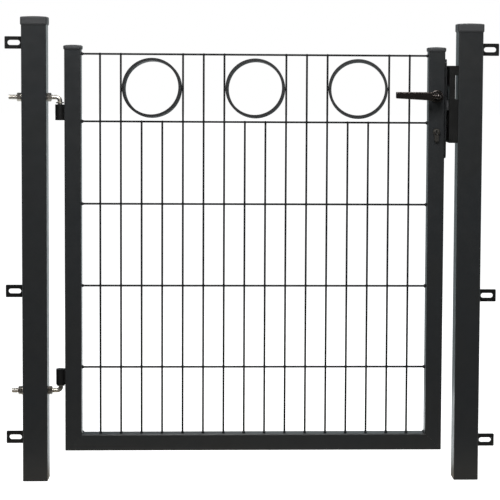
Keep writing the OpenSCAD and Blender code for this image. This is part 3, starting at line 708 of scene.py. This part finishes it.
# %% [markdown]
# ## Welds of the frame
#
# The three tubes of the frame meet in mitres. Their faces are welded and ground nearly flush, and the inside corner
# keeps its full bead, because no grinder reaches it. Both are swept along their seam, the flush ones sunk so far
# into the tube that only a low, narrow line stands out.

# %% Welds of the frame
MITRE_OUT, MITRE_UP = 38 * MM, 2 * MM  # a mitre's bead stops just short of the outer corner
GROUND_DOWN = 0.7 * MM
CORNER_HALF = 17 * MM
bm = bmesh.new()
for inner_x, way in ((inner_left, -1), (inner_right, 1)):
    outer = Vector((inner_x + way * MITRE_OUT, 0, frame_low + MITRE_UP))
    inner = Vector((inner_x, 0, rail_top))
    for face in (-1, 1):
        lift = Vector((0, face * (stile_y - GROUND_DOWN), 0))
        bead(bm, [outer + lift, inner + lift], 1.1 * MM, 2.2 * MM, 0.1, 8)
    corner = inner + Vector((-way * 0.6 * MM, 0, 0.6 * MM))
    across = Vector((0, CORNER_HALF, 0))
    bead(bm, [corner - across, corner + across], 3.6 * MM, 3.0 * MM, 0.14, 10)
piece("frame_corner_welds", bm, "leaf", anthracite, "grey_coat")

# %% [markdown]
# ## Welds of the sleeves and the tabs
#
# Each hinge sleeve is welded to the stile along both sides of the line where round meets flat. Each fence tab stands
# on edge against the post, with a bead down its front and its back. These beads aren't ground, so they are the same
# swept bead with stronger ripples.

# %% Welds of the sleeves
bm = bmesh.new()
stile_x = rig.box("hinge_stile")[0].x
for level in ("upper", "lower"):
    low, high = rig.box(f"hinge_sleeve_{level}")
    for side in (-1, 1):
        seam = [Vector((stile_x - 0.9 * MM, side * 5.6 * MM, z)) for z in (low.z + 1.5 * MM, high.z - 1.5 * MM)]
        bead(bm, seam, 2.3 * MM, 2.0 * MM, 0.18, 10)
piece("sleeve_welds", bm, "leaf", black, "black_coat")

# %% Welds of the tabs
bm = bmesh.new()
for side, post, way in (("hinge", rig.box("hinge_post")[0].x, -1), ("latch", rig.box("latch_post")[1].x, 1)):
    for level in ("top", "middle", "bottom"):
        low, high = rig.box(f"{side}_post_tab_{level}")
        for face in (low.y, high.y):
            seam = [Vector((post + way * 0.5 * MM, face, z)) for z in (low.z + 0.5 * MM, high.z - 0.5 * MM)]
            bead(bm, seam, 1.9 * MM, 2.0 * MM, 0.18, 8)
piece("tab_welds", bm, "posts", black, "black_coat")

# %% [markdown]
# ## Screws
#
# Two countersunk screws hold the lock's face plate to the stile, and a third, level with the cylinder, holds the
# cylinder. A cross could be cut out of the head with a Boolean, but a disc of rings is simpler: its inner points
# just sink where the cross is.

# %% Screw heads
RINGS, ROUND = 8, 48


def cross_screw(bm, centre, axis, radius, depth):
    axis = Vector(axis).normalized()
    side, other = sideways(axis)
    made = []
    for step in range(1, RINGS + 1):
        r = (step / RINGS) * radius
        ring = []
        for k in range(ROUND):
            angle = 2 * math.pi * k / ROUND
            arm = abs(math.cos(2 * angle)) ** 6
            sunk = depth if r < radius * (0.2 + 0.42 * arm) else 0.0
            dome = 0.12 * MM * (1 - (r / radius) ** 2)
            ring.append(bm.verts.new(Vector(centre) + axis * (dome - sunk)
                                     + r * (side * math.cos(angle) + other * math.sin(angle))))
        made.append(ring)
    bridge(bm, made)
    bm.faces.new(made[0][::-1])
    skirt = [bm.verts.new(v.co - axis * 0.4 * MM) for v in made[-1]]
    bridge(bm, [made[-1], skirt])
    bm.faces.new(skirt)


print("points on a screw head:", RINGS * ROUND)

# %% Screws of the lock
SCREW_R, CROSS_DEPTH, FROM_END, PROUD = 4.2 * MM, 0.9 * MM, 11 * MM, 0.05 * MM
PLUG_DROP = 8.5 * MM  # from the top of the cylinder to the middle of its round part
low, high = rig.box("lock_face_plate")
plug_x, plug_z = middle("lock_cylinder", 0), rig.box("lock_cylinder")[1].z - PLUG_DROP
bm = bmesh.new()
for z in (low.z + FROM_END, plug_z, high.z - FROM_END):
    cross_screw(bm, (high.x + PROUD, 0, z), (1, 0, 0), SCREW_R, CROSS_DEPTH)
piece("face_plate_screws", bm, "leaf", steel, "zinc_steel")

# %% [markdown]
# ## Key plug
#
# The key goes into a round plug that turns inside the cylinder. Its face stands a hair proud, and the keyway is a
# narrow upright slot. It could be cut with a Boolean too, but slot and disc have the same number of points here, so
# one is bridged straight to the other. The shallow slot's floor is black: painted shade for a real keyway, from which
# no light comes back.

# %% Outlines of the plug
POINTS = 40
KEYWAY_DROP = 0.8 * MM  # the keyway sits a little below the middle of the plug


def disc_loop(radius, y):
    return [Vector((plug_x + radius * math.sin(2 * math.pi * k / POINTS), y,
                    plug_z + radius * math.cos(2 * math.pi * k / POINTS))) for k in range(POINTS)]


def slot_loop(half_wide, half_high, y):
    points = []
    for k in range(POINTS):
        s, c = math.sin(2 * math.pi * k / POINTS), math.cos(2 * math.pi * k / POINTS)
        reach = 1 / ((abs(s) / half_wide) ** 6 + (abs(c) / half_high) ** 6) ** (1 / 6)
        points.append(Vector((plug_x + reach * s, y, plug_z - KEYWAY_DROP + reach * c)))
    return points


print("plug at x", round(plug_x, 4), "z", round(plug_z, 4), "with", POINTS, "points in each loop")

# %% Key plug
PLUG_R, PLUG_FACE_R = 6.9 * MM, 6.5 * MM
for name, side, out in (("front", 0, -1), ("back", 1, 1)):
    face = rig.box("lock_cylinder")[side].y
    outlines = [disc_loop(PLUG_R, face - out * 0.3 * MM), disc_loop(PLUG_R, face + out * 0.5 * MM),
                disc_loop(PLUG_FACE_R, face + out * 0.8 * MM),
                slot_loop(1.2 * MM, 4.6 * MM, face + out * 0.8 * MM),
                slot_loop(1.0 * MM, 4.4 * MM, face + out * 0.05 * MM)]
    bm = bmesh.new()
    loops = [[bm.verts.new(point) for point in outline] for outline in outlines]
    bridge(bm, loops)
    bm.faces.new(loops[0][::-1])
    # The floor of the shallow slot takes the black coat as painted shade for the depth of a real keyway
    keyway_floor_painted_shade = bm.faces.new(loops[-1])
    keyway_floor_painted_shade.material_index = 1
    plug = piece(f"key_plug_{name}", bm, "leaf", nickel, "dark_aluminium")
    plug.data.materials.append(black)

# %% [markdown]
# ## Write down the size
#
# Dressing must not make the gate bigger than its CAD model, so both boxes are written down for comparison.

# %% Write down the size
json.dump({"cad": [list(corner) for corner in cad_box], "dressed": [list(corner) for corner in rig.bounds()]},
          open("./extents.json", "w"))
print(open("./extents.json").read())
